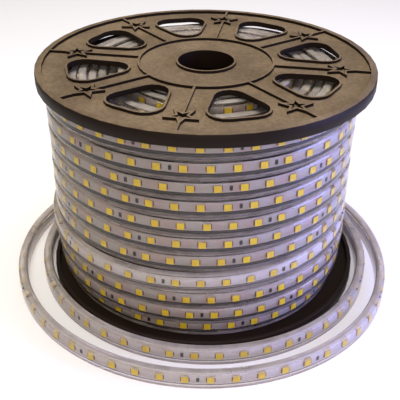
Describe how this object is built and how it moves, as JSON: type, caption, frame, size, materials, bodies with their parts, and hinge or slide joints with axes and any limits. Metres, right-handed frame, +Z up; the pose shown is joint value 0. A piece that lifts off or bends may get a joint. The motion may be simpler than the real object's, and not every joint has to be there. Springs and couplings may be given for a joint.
{
  "type": "reel of led strip light",
  "caption": "Reel of flat mains-voltage LED strip: clear sheath with yellow LED chips wound on a dark plastic spool with windowed flanges, its loose end lying in rings round the foot.",
  "frame": {"origin": "centre of the foot: on the reel's axis, at the level of the lower flange's rim", "axes": "+Z up along the reel's axis; +X along one rib of the flanges"},
  "size_m": [0.2912, 0.2901, 0.168],
  "materials": {
    "reel_plastic": "injection moulded black-brown plastic with a dusty tan bloom on its upper faces",
    "core_plastic": "plain dark brown moulded plastic",
    "strip_sheath": "clear soft PVC over a white flexible circuit board"
  },
  "bodies": {
    "root": {"flange_top": "reel_plastic", "flange_bottom": "reel_plastic", "core_barrel": "core_plastic", "led_strip_coil": "strip_sheath", "led_strip_tail": "strip_sheath"}
  },
  "joints": []
}
